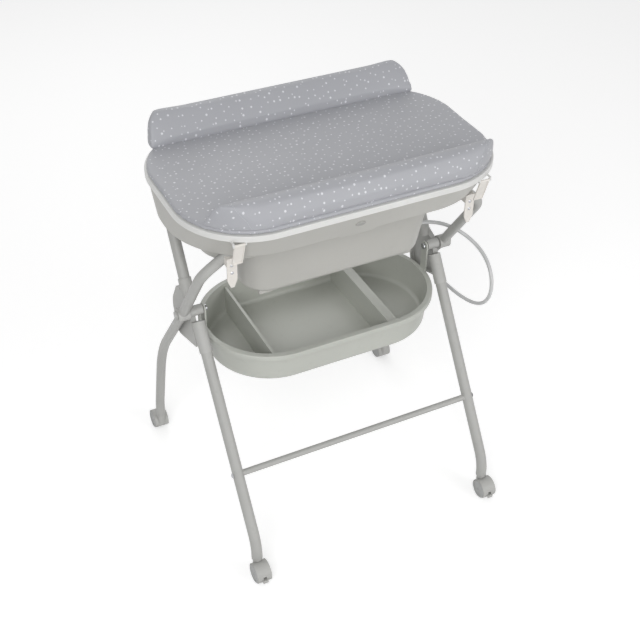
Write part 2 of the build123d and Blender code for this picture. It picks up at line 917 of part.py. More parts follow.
def drain_fitting():
    floor_top = deep_floor_z + tub_wall
    neck_low = deep_floor_z - drain_neck_depth
    spout_z = deep_floor_z - spout_drop
    body = rod(drain_point(neck_low), drain_point(floor_top), drain_neck_r)
    body += rod(drain_point(floor_top), drain_point(floor_top + drain_flange_height), drain_flange_r)
    body += rod(drain_point(spout_z), drain_point(spout_z, drain_x + spout_length), spout_r)
    body -= rod(drain_point(neck_low + drain_floor), drain_point(floor_top + drain_flange_r), drain_bore_r)
    spout_end = drain_point(spout_z, drain_x + spout_length + overrun)
    return body - rod(drain_point(spout_z), spout_end, spout_bore_r)


def drain_plug():
    seat_z = deep_floor_z + tub_wall + drain_flange_height + seat_gap
    top_z = seat_z + plug_head_height
    plug = rod(drain_point(seat_z), drain_point(top_z), plug_head_r)
    plug += rod(drain_point(seat_z - plug_stem_depth), drain_point(seat_z), drain_bore_r - running_gap)
    pull_plane = Plane(origin=drain_point(top_z), x_dir=(1, 0, 0), z_dir=(0, -1, 0))
    pull = Torus(plug_pull_r, plug_pull_wire_r)
    return plug + pull_plane * pull


# The hose leaves the drain under the tub, curls out round the right side and ends free.
hose_points = [
    (205, 35, 686),
    (262, 35, 686),
    (316, 37, 678),
    (365, 30, 661),
    (401, 4, 641),
    (421, -38, 623),
    (424, -84, 606),
    (421, -118, 578),
    (419, -130, 538),
    (419, -119, 497),
    (420, -90, 463),
    (421, -50, 440),
    (421, -2, 426),
    (419, 46, 420),
    (414, 92, 423),
]


def hose_radii(points):
    """Arc at each point: 0.45 of the shorter run over the tangent of half the turn."""
    radii = []
    for before, here, after in zip(points, points[1:], points[2:]):
        arriving = Vector(*here) - Vector(*before)
        leaving = Vector(*after) - Vector(*here)
        half_angle = math.radians(arriving.get_angle(leaving)) / 2
        radii.append(hose_run_share * min(arriving.length, leaving.length) / math.tan(half_angle))
    return radii


def drain_hose():
    radii = hose_radii(hose_points)
    path = FilletPolyline(*hose_points, radius=radii)
    hose = sweep(Plane(origin=path @ 0, z_dir=path % 0) * Circle(hose_r), path)
    print("hose radii", [round(radius) for radius in radii], "length", round(path.length))
    print("hose volume", round(hose.volume), "section times length", round(math.pi * hose_r**2 * path.length))
    return hose


def hose_stopper():
    end, before = Vector(*hose_points[-1]), Vector(*hose_points[-2])
    run = (end - before).normalized()
    cap = rod(tuple(end), tuple(end + run * stopper_length), stopper_r)
    return fillet(cap.edges().filter_by(GeomType.CIRCLE), stopper_edge_r)


# Hinge between tub and board


def lid_axis(x):
    return (x, bath_centre_y + half_depth + lid_axis_out, board_low_z - lid_axis_drop)


def lid_pin_hole():
    reach = lid_hinge_x + lid_knuckle_half_width + lid_side_gap + lid_cheek_width + overrun
    return rod(lid_axis(-reach), lid_axis(reach), lid_pin_r)


def lid_cheek(side, offset):
    """Ear on the tub's rim beside the board's knuckle."""
    near = lid_knuckle_half_width + lid_side_gap
    x_inner = side * lid_hinge_x + offset * near
    x_outer = x_inner + offset * lid_cheek_width
    eye = rod(lid_axis(x_inner), lid_axis(x_outer), lid_knuckle_r)
    _, axis_y, axis_z = lid_axis(x_inner)
    rim_y = bath_centre_y + half_depth - tub_rim_inset_y - tub_wall
    arm = block((x_inner, rim_y, axis_z - lid_knuckle_r), (x_outer, axis_y, rim_under_z + tub_rim_thickness))
    return eye + arm


def lid_pin(side):
    reach = lid_knuckle_half_width + lid_side_gap + lid_cheek_width
    centre = side * lid_hinge_x
    return rod(lid_axis(centre - reach), lid_axis(centre + reach), lid_pin_r)


def lid_knuckle(side):
    centre = side * lid_hinge_x
    start, end = centre - lid_knuckle_half_width, centre + lid_knuckle_half_width
    eye = rod(lid_axis(start), lid_axis(end), lid_knuckle_r)
    _, axis_y, axis_z = lid_axis(start)
    back_y, top_z = axis_y + lid_knuckle_r, top_height - board_skin
    arm = block((start, bath_centre_y + half_depth - board_wall, board_low_z), (end, back_y, top_z))
    web = block((start, axis_y, axis_z), (end, back_y, top_z))
    return eye + arm + web - rod(lid_axis(start - overrun), lid_axis(end + overrun), lid_pin_r + running_gap)


# Changing board and padding


def board_ribs():
    ribs = []
    reach = half_depth - board_wall
    count = int(half_length // board_rib_pitch)
    for index in range(-count, count + 1):
        x = index * board_rib_pitch
        ribs.append(
            block(
                (x - board_rib / 2, bath_centre_y - reach, board_low_z),
                (x + board_rib / 2, bath_centre_y + reach, top_height - board_skin),
            )
        )
    return ribs


def board():
    """Moulded board, hollow underneath, with ribs, hinge knuckles and strap lugs."""
    outer = plan_block(0, 0, top_corner_r, board_low_z, top_height)
    outer = fillet(outer.faces().sort_by(Axis.Z)[-1].edges(), board_edge_r)
    hollow = plan_block(
        board_wall, board_wall, top_corner_r - board_wall, board_low_z - overrun, top_height - board_skin
    )
    limit = plan_block(
        board_wall / 2, board_wall / 2, top_corner_r - board_wall / 2, board_low_z, top_height - board_skin
    )
    solid = outer - hollow
    for rib in board_ribs():
        solid += rib & limit
    for side in (-1, 1):
        solid += lid_knuckle(side)
        for offset in (-1, 1):
            solid += strap_lug(side, offset)
    return solid


def strap_axis(x):
    return (x, bath_centre_y - half_depth + strap_axis_inset, board_low_z - strap_axis_drop)


def strap_lug(side, offset):
    """Small ear under the board's edge beside the strap's knuckle."""
    x_inner = side * strap_x + offset * (strap_width / 2 + seat_gap)
    x_outer = x_inner + offset * strap_lug_width
    _, axis_y, axis_z = strap_axis(x_inner)
    eye = rod(strap_axis(x_inner), strap_axis(x_outer), strap_knuckle_r)
    near_y, far_y = axis_y - strap_knuckle_r, axis_y + strap_knuckle_r
    top_z = board_low_z + board_wall
    post = block((x_inner, near_y, axis_z), (x_outer, far_y, top_z))
    bridge = block((x_inner, near_y, board_low_z), (x_outer, far_y + strap_lug_reach, top_z))
    return eye + post + bridge - strap_bore(side, strap_pin_r)


def strap_bore(side, radius):
    reach = strap_width / 2 + seat_gap + strap_lug_width + overrun
    return rod(strap_axis(side * strap_x - reach), strap_axis(side * strap_x + reach), radius)


def strap(side):
    """Latch strap that hangs along the apron, with raised edges and a lip."""
    x = side * strap_x
    half = strap_width / 2
    face, ridge = strap_thickness / 2, strap_thickness / 2 + strap_edge_rib
    flat = block((-half, -strap_length, -face), (half, 0, face))
    for edge in (-1, 1):
        inner = edge * (half - strap_edge_rib_width)
        flat += block((inner, -strap_length, face), (edge * half, 0, ridge))
    flat += block((-half, -strap_length, face), (half, -strap_length + strap_lip_height, ridge))
    body = Plane(origin=strap_axis(x), x_dir=(1, 0, 0), z_dir=(0, -1, 0)) * (Rot(strap_slope, 0, 0) * flat)
    body += rod(strap_axis(x - half), strap_axis(x + half), strap_knuckle_r)
    return body - strap_bore(side, strap_pin_r + running_gap)


def strap_pin(side):
    reach = strap_width / 2 + seat_gap + strap_lug_width
    return rod(strap_axis(side * strap_x - reach), strap_axis(side * strap_x + reach), strap_pin_r)


def mat_pad():
    """Flat pad with a welded seam along the foot of each bolster."""
    pad = plan_block(mat_inset, mat_inset, top_corner_r - mat_inset, mat_low_z, mat_top_z)
    pad = fillet(pad.faces().sort_by(Axis.Z)[-1].edges(), mat_edge_r)
    front_seam_y = bath_centre_y - half_depth + bolster_inset + front_bolster_depth
    back_seam_y = bath_centre_y + half_depth - bolster_inset - back_bolster_depth - mat_seam_width
    for low_y in (front_seam_y, back_seam_y):
        low = (-half_length, low_y, mat_top_z - mat_seam_depth)
        pad -= block(low, (half_length, low_y + mat_seam_width, mat_top_z + overrun))
    return pad


def bolster_wedge(front, depth, ridge_depth, height):
    """Wedge of foam that runs along one long side of the mat."""
    top_z = mat_top_z + height
    outer_y = half_depth - bolster_inset
    inner_y, ridge_y = outer_y - depth, outer_y - ridge_depth
    inner, outer = (inner_y, mat_top_z), (outer_y, mat_top_z)
    ridge_inner, ridge_outer = (ridge_y, top_z), (ridge_y + bolster_ridge_width, top_z)
    section = SagittaArc(inner, ridge_inner, bolster_crown) + Line(ridge_inner, ridge_outer)
    section += SagittaArc(ridge_outer, outer, bolster_back_crown) + Line(outer, inner)
    wedge = Pos(-half_length, 0, 0) * extrude(make_face(Plane.YZ * section), top_length, dir=(1, 0, 0))
    ridge = wedge.edges().filter_by(Axis.X).group_by(Axis.Z)[-1]
    wedge = fillet(ridge, bolster_ridge_r)
    return Pos(0, bath_centre_y, 0) * (wedge if front > 0 else mirror(wedge, Plane.XZ))


def front_bolster():
    """Bolster that ends where the mat's rounded outline ends."""
    wedge = bolster_wedge(-1, front_bolster_depth, front_bolster_ridge_depth, front_bolster_height)
    top_z = mat_top_z + front_bolster_height + overrun
    return wedge & plan_block(bolster_inset, bolster_inset, top_corner_r - bolster_inset, mat_top_z, top_z)


def back_bolster():
    """Taller bolster with leaning ends and rounded top corners."""
    wedge = bolster_wedge(1, back_bolster_depth, back_bolster_ridge_depth, back_bolster_height)
    low_half, high_half = back_bolster_half_length, back_bolster_half_length - back_bolster_end_lean
    top_z = mat_top_z + back_bolster_height
    corners = [(-low_half, mat_top_z), (-high_half, top_z), (high_half, top_z), (low_half, mat_top_z)]
    face = make_face(Plane.XZ * Polyline(*corners, close=True))
    face = fillet(face.vertices().group_by(Axis.Z)[-1], back_bolster_corner_r)
    plan = plan_block(back_bolster_end_inset, bolster_inset, back_bolster_plan_r, mat_top_z, top_z + overrun)
    return wedge & plan & extrude(face, top_depth, both=True)


# Storage tray


def tray_face(inset, z):
    return Pos(0, tray_centre_y, z) * RectangleRounded(
        (tray_half_length - inset) * 2, (tray_half_depth - inset) * 2, tray_corner_r - inset
    )


def tray_cup(inset, floor_z, edge_r):
    cup = loft([tray_face(inset + tray_draft, floor_z), tray_face(inset, tray_rim_z)], ruled=True)
    return fillet(cup.faces().sort_by(Axis.Z)[0].edges(), edge_r)


def tray_ear(side):
    """Tab that rises from the rim and hooks on the pivot pin."""
    inner = side * (pin_inner_x + pin_head_length + ear_gap)
    outer = inner + side * ear_thickness
    half = ear_width / 2
    plate = block((inner, pivot_y - half, tray_rim_z - tray_rim_height), (outer, pivot_y + half, pivot_z))
    crown = rod((inner, pivot_y, pivot_z), (outer, pivot_y, pivot_z), half)
    return plate + crown - pin_hole(side, pin_r + running_gap)


def tray():
    """Shallow bin with a rolled rim, two dividers and an ear at each end."""
    rim = extrude(tray_face(0, tray_rim_z - tray_rim_height), tray_rim_height)
    rim = fillet(rim.faces().sort_by(Axis.Z)[-1].edges(), tray_rim_edge_r)
    under = tray_face(tray_wall, tray_rim_z - tray_rim_height - overrun)
    rim -= extrude(under, tray_rim_height + overrun - tray_wall)
    cavity = tray_cup(tray_rim_width + tray_wall, tray_floor_z + tray_wall, tray_edge_r - tray_wall)
    solid = rim + tray_cup(tray_rim_width, tray_floor_z, tray_edge_r)
    solid -= cavity
    top_z = tray_rim_z - divider_drop
    reach = tray_half_depth
    walls = block(
        (divider_left_x - divider_left_width / 2, tray_centre_y - reach, tray_floor_z),
        (divider_left_x + divider_left_width / 2, tray_centre_y + reach, top_z),
    )
    walls += block(
        (divider_right_x - divider_right_width / 2, tray_centre_y - reach, tray_floor_z),
        (divider_right_x + divider_right_width / 2, tray_centre_y + reach, top_z),
    )
    solid += walls & tray_cup(tray_rim_width + tray_wall / 2, tray_floor_z, tray_edge_r)
    solid -= divider_hollow(top_z)
    for side in (-1, 1):
        solid += tray_ear(side)
    return solid


def divider_hollow(top_z):
    """Space under the wide divider, open below, so that its walls stay thin."""
    half = divider_right_width / 2 - tray_wall
    reach = tray_half_depth - tray_rim_width - tray_draft - divider_end_wall
    return block(
        (divider_right_x - half, tray_centre_y - reach, tray_floor_z - overrun),
        (divider_right_x + half, tray_centre_y + reach, top_z - tray_wall),
    )


# Write every node

for side in (-1, 1):
    save(f"front_leg_{side_name(side)}", front_leg(side))
    save(f"knuckle_{side_name(side)}", knuckle(side))
    save(f"rear_leg_{side_name(side)}", rear_leg(side))
    save(f"pivot_hub_{side_name(side)}", pivot_hub(side))
    save(f"latch_plate_{side_name(side)}", latch_plate(side))
    save(f"latch_strap_{side_name(side)}", strap(side))

save("rear_hoop", rear_hoop())
save("crossbar", crossbar())
save("crossbar_plugs", *both_sides(crossbar_plug))
save("crossbar_bolts", *both_sides(crossbar_bolt_with_head))
save("pivot_pins", *both_sides(pivot_pin))
save("pivot_washers", *both_sides(pivot_washer))
save("pivot_caps", *both_sides(pivot_cap))
save("front_foot_sockets", *both_sides(front_socket))

save("front_hoop", front_hoop())
save("leg_spigots", *both_sides(leg_spigot))
save("splice_screws", *both_sides(splice_screw_pair))
save("plate_screws", *both_sides(plate_screw_pair))
save("rear_foot_sockets", *both_sides(rear_socket))

hood, stem, axle, wheels, lever, brake_pin = (
    caster_hood(),
    caster_stem(),
    caster_axle(),
    caster_wheels(),
    brake_lever(),
    lever_pin(),
)
for name, x, y, out in caster_places():
    place = caster_frame(x, y, out)
    save(f"caster_hood_{name}", place * hood)
    save(f"caster_stem_{name}", place * stem)
    save(f"caster_axles_{name}", place * axle, place * brake_pin)
    save(f"caster_wheels_{name}", place * wheels)
    save(f"brake_lever_{name}", place * lever)

save("tub", tub())
save("tub_apron", tub_apron())
save("rail_guides", *both_sides(rail_guide))
save("apron_button", apron_button())
save("drain_fitting", drain_fitting())
save("drain_plug", drain_plug())
save("drain_hose", drain_hose())
save("hose_stopper", hose_stopper())
save("lid_pins", *both_sides(lid_pin))

save("changing_board", board())
save("strap_pins", *both_sides(strap_pin))
save("mat_pad", mat_pad())
save("front_bolster", front_bolster())
save("back_bolster", back_bolster())

save("tray", tray())
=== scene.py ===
import math
import bmesh
import bpy
from mathutils import Matrix, Vector
from mathutils.bvhtree import BVHTree


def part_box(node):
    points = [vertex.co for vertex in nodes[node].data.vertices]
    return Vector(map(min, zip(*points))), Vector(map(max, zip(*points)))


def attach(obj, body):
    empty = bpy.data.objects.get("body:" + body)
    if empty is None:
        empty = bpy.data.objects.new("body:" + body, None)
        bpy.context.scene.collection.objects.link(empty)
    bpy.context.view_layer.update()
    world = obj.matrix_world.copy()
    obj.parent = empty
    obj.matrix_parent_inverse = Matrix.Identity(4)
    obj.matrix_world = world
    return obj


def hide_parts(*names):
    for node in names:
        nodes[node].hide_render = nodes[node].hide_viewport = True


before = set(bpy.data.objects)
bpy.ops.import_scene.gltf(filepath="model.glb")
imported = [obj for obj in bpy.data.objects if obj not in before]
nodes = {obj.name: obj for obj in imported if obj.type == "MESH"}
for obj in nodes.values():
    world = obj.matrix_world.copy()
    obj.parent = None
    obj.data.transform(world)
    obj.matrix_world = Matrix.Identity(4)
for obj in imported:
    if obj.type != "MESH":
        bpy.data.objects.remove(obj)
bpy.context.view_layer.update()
mm = 0.001
print("frame loaded")

# Camera and light

cameraLook = {
    "place": (-1.0660, -2.0525, 2.3016),
    "azimuth": -27.16,
    "elevation": 38.12,
    "roll": 0.99,
    "lens": 64.41,
    "sensor": 36.0,
}


def makeCamera(look):
    turn, lift, roll = (math.radians(look[key]) for key in ("azimuth", "elevation", "roll"))
    back = Vector((math.sin(turn) * math.cos(lift), -math.cos(turn) * math.cos(lift), math.sin(lift)))
    right = Vector((math.cos(turn), math.sin(turn), 0))
    up = back.cross(right)
    rolledRight = right * math.cos(roll) + up * math.sin(roll)
    rolledUp = up * math.cos(roll) - right * math.sin(roll)
    data = bpy.data.cameras.new("photoCamera")
    data.lens, data.sensor_width = look["lens"], look["sensor"]
    camera = bpy.data.objects.new("photoCamera", data)
    bpy.context.scene.collection.objects.link(camera)
    camera.matrix_world = Matrix.Translation(look["place"]) @ Matrix(
        (rolledRight, rolledUp, back)
    ).transposed().to_4x4()
    bpy.context.scene.camera = camera


lampLook = {
    "key": {"place": (-2.0, -2.8, 2.9), "size": 2.6, "watts": 74.0},
    "fill": {"place": (1.9, -3.4, 1.7), "size": 2.4, "watts": 38.0},
    "back": {"place": (0.4, 2.6, 2.8), "size": 2.2, "watts": 16.0},
}
lampAim = (0, 0, 0.6)


def makeLamp(name, look):
    data = bpy.data.lights.new(name, "AREA")
    data.shape, data.size, data.energy = "DISK", look["size"], look["watts"]
    lamp = bpy.data.objects.new(name, data)
    bpy.context.scene.collection.objects.link(lamp)
    lamp.location = look["place"]
    aim = Vector(lampAim) - Vector(look["place"])
    lamp.rotation_euler = aim.to_track_quat("-Z", "Y").to_euler()


# Material helpers


def hexColour(text):
    parts = [int(text[i:i + 2], 16) / 255 for i in (0, 2, 4)]
    return tuple([c / 12.92 if c <= 0.04045 else ((c + 0.055) / 1.055) ** 2.4 for c in parts] + [1.0])


def addNode(tree, kind, inputs=None, **settings):
    node = tree.nodes.new(kind)
    for key, value in settings.items():
        setattr(node, key, value)
    for name, value in (inputs or {}).items():
        if isinstance(value, bpy.types.NodeSocket):
            tree.links.new(value, node.inputs[name])
        else:
            node.inputs[name].default_value = value
    return node


def newMaterial(name):
    material = bpy.data.materials.new(name)
    material.use_nodes = True
    tree = material.node_tree
    tree.nodes.clear()
    return material, tree


def closeMaterial(tree, colour, roughness, normal, fixed):
    shader = addNode(
        tree, "ShaderNodeBsdfPrincipled",
        {"Base Color": colour, "Roughness": roughness, "Normal": normal},
    )
    for name, value in fixed.items():
        shader.inputs[name].default_value = value
    output = addNode(tree, "ShaderNodeOutputMaterial")
    tree.links.new(shader.outputs["BSDF"], output.inputs["Surface"])


def perMetre(millimetres):
    return 1000.0 / millimetres


noiseDetail = {"grain": 3.0, "cloud": 4.0, "speck": 6.0}
cloudRange = (0.3, 0.7)
rubRange = (0.6, 0.74)


# Moulded and painted finishes: a fine grain for the tool's texture or the powder's orange peel,
# a broad cloud for uneven gloss, and a slightly darker dusting where hands and shoes rub.
def mouldedFinish(name, look):
    material, tree = newMaterial(name)
    place = addNode(tree, "ShaderNodeTexCoord").outputs["Object"]
    noise = {}
    for layer, detail in noiseDetail.items():
        noise[layer] = addNode(
            tree, "ShaderNodeTexNoise", {"Vector": place, "Scale": perMetre(look[layer]), "Detail": detail}
        ).outputs["Fac"]
    speckMask = addNode(
        tree, "ShaderNodeMapRange",
        {"Value": noise["speck"], "From Min": rubRange[0], "From Max": rubRange[1], "To Max": look["rub"]},
    )
    ramp = addNode(tree, "ShaderNodeValToRGB", {"Fac": noise["cloud"]})
    for element, position, colour in zip(ramp.color_ramp.elements, cloudRange, ("shade", "tint")):
        element.position = position
        element.color = hexColour(look[colour])
    rubbed = addNode(
        tree, "ShaderNodeMix",
        {0: speckMask.outputs["Result"], 6: ramp.outputs["Color"], 7: hexColour(look["rubTint"])},
        data_type="RGBA",
    )
    gloss = addNode(
        tree, "ShaderNodeMapRange",
        {"Value": noise["cloud"], "From Min": cloudRange[0], "From Max": cloudRange[1],
         "To Min": look["rough"] - look["roughSpread"], "To Max": look["rough"] + look["roughSpread"]},
    )
    bump = addNode(
        tree, "ShaderNodeBump",
        {"Height": noise["grain"], "Strength": look["bump"], "Distance": look["grainDepth"] * mm},
    )
    closeMaterial(
        tree, rubbed.outputs[2], gloss.outputs["Result"], bump.outputs["Normal"], look.get("fixed", {})
    )
    return material


finishes = {
    # powder-coated steel tube: satin grey with orange peel about 1.5 mm across
    "powderCoatedSteel": {
        "tint": "B1B1AE", "shade": "ABABA8", "rubTint": "A0A09D", "rub": 0.35,
        "grain": 1.5, "grainDepth": 0.05, "cloud": 90, "speck": 14,
        "rough": 0.42, "roughSpread": 0.04, "bump": 0.35,
    },
    # injection-moulded ABS of knuckles, hubs and hoods: spark-eroded fine texture
    "sparkTexturedAbs": {
        "tint": "B6B6B3", "shade": "B0B0AD", "rubTint": "9F9F9C", "rub": 0.3,
        "grain": 0.9, "grainDepth": 0.06, "cloud": 60, "speck": 9,
        "rough": 0.5, "roughSpread": 0.05, "bump": 0.5,
    },
    # moulded polypropylene of the bath: smooth, slightly waxy
    "waxyPolypropylene": {
        "tint": "B5B4AF", "shade": "B0AFAA", "rubTint": "A5A49F", "rub": 0.2,
        "grain": 2.4, "grainDepth": 0.04, "cloud": 160, "speck": 22,
        "rough": 0.36, "roughSpread": 0.05, "bump": 0.25,
        "fixed": {"Subsurface Weight": 0.04, "Subsurface Radius": (0.004, 0.004, 0.003)},
    },
    # moulded polypropylene of the tray, the bath's batch with a softer gloss
    "trayPolypropylene": {
        "tint": "BEC0B9", "shade": "B8BAB3", "rubTint": "AAACA5", "rub": 0.25,
        "grain": 2.0, "grainDepth": 0.05, "cloud": 140, "speck": 18,
        "rough": 0.4, "roughSpread": 0.06, "bump": 0.3,
    },
    # moulded board: near white, glossier than the bath
    "boardPolystyrene": {
        "tint": "DCDCDA", "shade": "D6D6D4", "rubTint": "C8C8C5", "rub": 0.2,
        "grain": 1.8, "grainDepth": 0.03, "cloud": 120, "speck": 16,
        "rough": 0.32, "roughSpread": 0.04, "bump": 0.2,
    },
    # latch straps and plates: pale warm acetal
    "paleAcetal": {
        "tint": "E2DED8", "shade": "DBD7D1", "rubTint": "C5C1BB", "rub": 0.3,
        "grain": 0.8, "grainDepth": 0.04, "cloud": 30, "speck": 6,
        "rough": 0.38, "roughSpread": 0.05, "bump": 0.35,
    },
    # button and drain plug
    "glossyAbs": {
        "tint": "A8A8A4", "shade": "A2A29E", "rubTint": "93938F", "rub": 0.15,
        "grain": 0.8, "grainDepth": 0.02, "cloud": 20, "speck": 5,
        "rough": 0.24, "roughSpread": 0.04, "bump": 0.2,
    },
    # caster wheels: nylon with a ground-in dusting
    "dustyNylon": {
        "tint": "B2B3B2", "shade": "AAABAA", "rubTint": "8E8F8E", "rub": 0.6,
        "grain": 0.7, "grainDepth": 0.08, "cloud": 12, "speck": 4,
        "rough": 0.55, "roughSpread": 0.06, "bump": 0.5,
    },
    # zinc-plated steel of pins, bolts and screws
    "zincPlatedSteel": {
        "tint": "BDBEC0", "shade": "B0B1B4", "rubTint": "9C9DA0", "rub": 0.4,
        "grain": 0.5, "grainDepth": 0.02, "cloud": 8, "speck": 3,
        "rough": 0.3, "roughSpread": 0.06, "bump": 0.3,
        "fixed": {"Metallic": 1.0},
    },
    # extruded soft vinyl of the hose: milky, a little translucent at the skin
    "milkyVinyl": {
        "tint": "CDCECE", "shade": "C6C7C7", "rubTint": "B6B7B7", "rub": 0.2,
        "grain": 1.2, "grainDepth": 0.03, "cloud": 40, "speck": 8,
        "rough": 0.3, "roughSpread": 0.04, "bump": 0.2,
        "fixed": {"Subsurface Weight": 0.15, "Subsurface Radius": (0.003, 0.003, 0.003)},
    },
    # turned rubber of the hose stopper
    "greyRubber": {
        "tint": "8A8A88", "shade": "828280", "rubTint": "747472", "rub": 0.4,
        "grain": 0.6, "grainDepth": 0.05, "cloud": 12, "speck": 4,
        "rough": 0.7, "roughSpread": 0.05, "bump": 0.5,
    },
}
made = {name: mouldedFinish(name, look) for name, look in finishes.items()}

# Coated cotton cover of the mat: matte film on a plain weave, printed with pale dots and small sparks
coverLook = {
    "cloth": "A9AAAF",
    "shade": "A4A5AA",
    "dot": "D4D5D9",
    # the dots lie about 19 mm apart; their sizes are shares of that
    "pitch": 19.0,
    "scatter": 0.85,
    "dotSmall": 0.06,
    "dotLarge": 0.125,
    "edge": 0.04,
    "sparkShare": 0.38,
    "sparkPinch": 0.6,
    "sparkReach": 1.9,
    "cloud": 120.0,
    # the weave's threads lie 0.4 mm apart, too fine to show, so they are drawn 1.2 mm apart
    "thread": 1.2,
    "threadDepth": 0.05,
    "threadBump": 0.2,
    "crease": 55.0,
    "creaseDepth": 0.6,
    "creaseBump": 0.5,
    "creaseBend": 0.6,
    "smoothest": 0.41,
    "roughest": 0.53,
    "sheen": 0.15,
}
waveTurn = 20.0  # a wave texture turns 20 radians per unit


def dottedCover(look):
    material, tree = newMaterial("coatedCottonCover")
    place = addNode(tree, "ShaderNodeTexCoord").outputs["Object"]
    flat = addNode(tree, "ShaderNodeUVMap", uv_map="coverMap").outputs["UV"]
    cells = addNode(
        tree, "ShaderNodeTexVoronoi",
        {"Vector": flat, "Scale": perMetre(look["pitch"]), "Randomness": look["scatter"]},
        voronoi_dimensions="2D",
    )
    ends = []
    density = perMetre(look["pitch"])
    for spot in (flat, cells.outputs["Position"]):
        scaled = addNode(tree, "ShaderNodeVectorMath", {0: spot, 3: density}, operation="SCALE")
        ends.append(scaled.outputs[0])
    away = addNode(tree, "ShaderNodeVectorMath", {0: ends[0], 1: ends[1]}, operation="SUBTRACT")
    parts = addNode(tree, "ShaderNodeSeparateXYZ", {"Vector": away.outputs[0]})
    roots = []
    for axis in ("X", "Y"):
        size = addNode(tree, "ShaderNodeMath", {0: parts.outputs[axis]}, operation="ABSOLUTE")
        root = addNode(tree, "ShaderNodeMath", {0: size.outputs[0], 1: look["sparkPinch"]}, operation="POWER")
        roots.append(root.outputs[0])
    spread = addNode(tree, "ShaderNodeMath", {0: roots[0], 1: roots[1]}, operation="ADD")
    spark = addNode(tree, "ShaderNodeMath", {0: spread.outputs[0], 1: look["sparkReach"]}, operation="POWER")
    chance = addNode(tree, "ShaderNodeSeparateColor", {"Color": cells.outputs["Color"]})
    isSpark = addNode(
        tree, "ShaderNodeMath", {0: chance.outputs["Red"], 1: 1 - look["sparkShare"]},
        operation="GREATER_THAN",
    )
    reach = addNode(
        tree, "ShaderNodeMix",
        {0: isSpark.outputs[0], 2: cells.outputs["Distance"], 3: spark.outputs[0]},
        data_type="FLOAT",
    )
    radius = addNode(
        tree, "ShaderNodeMapRange",
        {"Value": chance.outputs["Green"], "To Min": look["dotSmall"], "To Max": look["dotLarge"]},
    )
    outer = addNode(tree, "ShaderNodeMath", {0: radius.outputs[0], 1: look["edge"]}, operation="ADD")
    printed = addNode(
        tree, "ShaderNodeMapRange",
        {"Value": reach.outputs[0], "From Min": radius.outputs[0], "From Max": outer.outputs[0],
         "To Min": 1.0, "To Max": 0.0},
        interpolation_type="SMOOTHSTEP",
    )
    cloud = addNode(
        tree, "ShaderNodeTexNoise",
        {"Vector": place, "Scale": perMetre(look["cloud"]), "Detail": noiseDetail["grain"]},
    )
    cloth = addNode(
        tree, "ShaderNodeMix",
        {0: cloud.outputs["Fac"], 6: hexColour(look["cloth"]), 7: hexColour(look["shade"])},
        data_type="RGBA",
    )
    colour = addNode(
        tree, "ShaderNodeMix",
        {0: printed.outputs[0], 6: cloth.outputs[2], 7: hexColour(look["dot"])},
        data_type="RGBA",
    )
    threadScale = perMetre(look["thread"]) * 2 * math.pi / waveTurn
    threads = []
    for way in ("X", "Y"):
        wave = addNode(
            tree, "ShaderNodeTexWave", {"Vector": flat, "Scale": threadScale}, bands_direction=way
        )
        threads.append(wave.outputs["Fac"])
    weave = addNode(tree, "ShaderNodeMath", {0: threads[0], 1: threads[1]}, operation="MAXIMUM")
    weaveBump = addNode(
        tree, "ShaderNodeBump",
        {"Height": weave.outputs[0], "Strength": look["threadBump"], "Distance": look["threadDepth"] * mm},
    )
    creases = addNode(
        tree, "ShaderNodeTexNoise",
        {"Vector": place, "Scale": perMetre(look["crease"]), "Detail": 2.0, "Distortion": look["creaseBend"]},
    )
    bump = addNode(
        tree, "ShaderNodeBump",
        {"Height": creases.outputs["Fac"], "Strength": look["creaseBump"],
         "Distance": look["creaseDepth"] * mm, "Normal": weaveBump.outputs["Normal"]},
    )
    rough = addNode(
        tree, "ShaderNodeMapRange",
        {"Value": cloud.outputs["Fac"], "To Min": look["smoothest"], "To Max": look["roughest"]},
    )
    fixed = {"Sheen Weight": look["sheen"]}
    closeMaterial(tree, colour.outputs[2], rough.outputs[0], bump.outputs["Normal"], fixed)
    return material


made["coatedCottonCover"] = dottedCover(coverLook)
print("materials made")


# CAD pieces get their finish by name


def finishNode(name, material):
    mesh = nodes[name].data
    mesh.materials.clear()
    mesh.materials.append(made[material])


finishByNode = {
    "powderCoatedSteel": [
        "front_leg_left", "front_leg_right", "rear_hoop", "front_hoop",
        "rear_leg_left", "rear_leg_right", "crossbar",
    ],
    "sparkTexturedAbs": [
        "knuckle_left", "knuckle_right", "crossbar_plugs", "leg_spigots", "front_foot_sockets",
        "rear_foot_sockets", "pivot_hub_left", "pivot_hub_right", "pivot_caps",
    ],
    "zincPlatedSteel": [
        "crossbar_bolts", "pivot_pins", "pivot_washers", "splice_screws", "plate_screws",
        "lid_pins", "strap_pins",
    ],
    "paleAcetal": ["latch_plate_left", "latch_plate_right", "latch_strap_left", "latch_strap_right"],
    "waxyPolypropylene": ["tub", "tub_apron", "rail_guides", "drain_fitting"],
    "glossyAbs": ["apron_button", "drain_plug"],
    "boardPolystyrene": ["changing_board"],
    "trayPolypropylene": ["tray"],
    "greyRubber": ["hose_stopper"],
}
for place in ("front_left", "front_right", "rear_left", "rear_right"):
    finishByNode["sparkTexturedAbs"] += [f"caster_hood_{place}", f"brake_lever_{place}"]
    finishByNode["zincPlatedSteel"] += [f"caster_stem_{place}", f"caster_axles_{place}"]
    finishByNode["dustyNylon"] = finishByNode.get("dustyNylon", []) + [f"caster_wheels_{place}"]
for material, names in finishByNode.items():
    for name in names:
        finishNode(name, material)
print("CAD pieces finished")


# Padded pieces


def linked(name, mesh):
    obj = bpy.data.objects.new(name, mesh)
    bpy.context.scene.collection.objects.link(obj)
    return obj


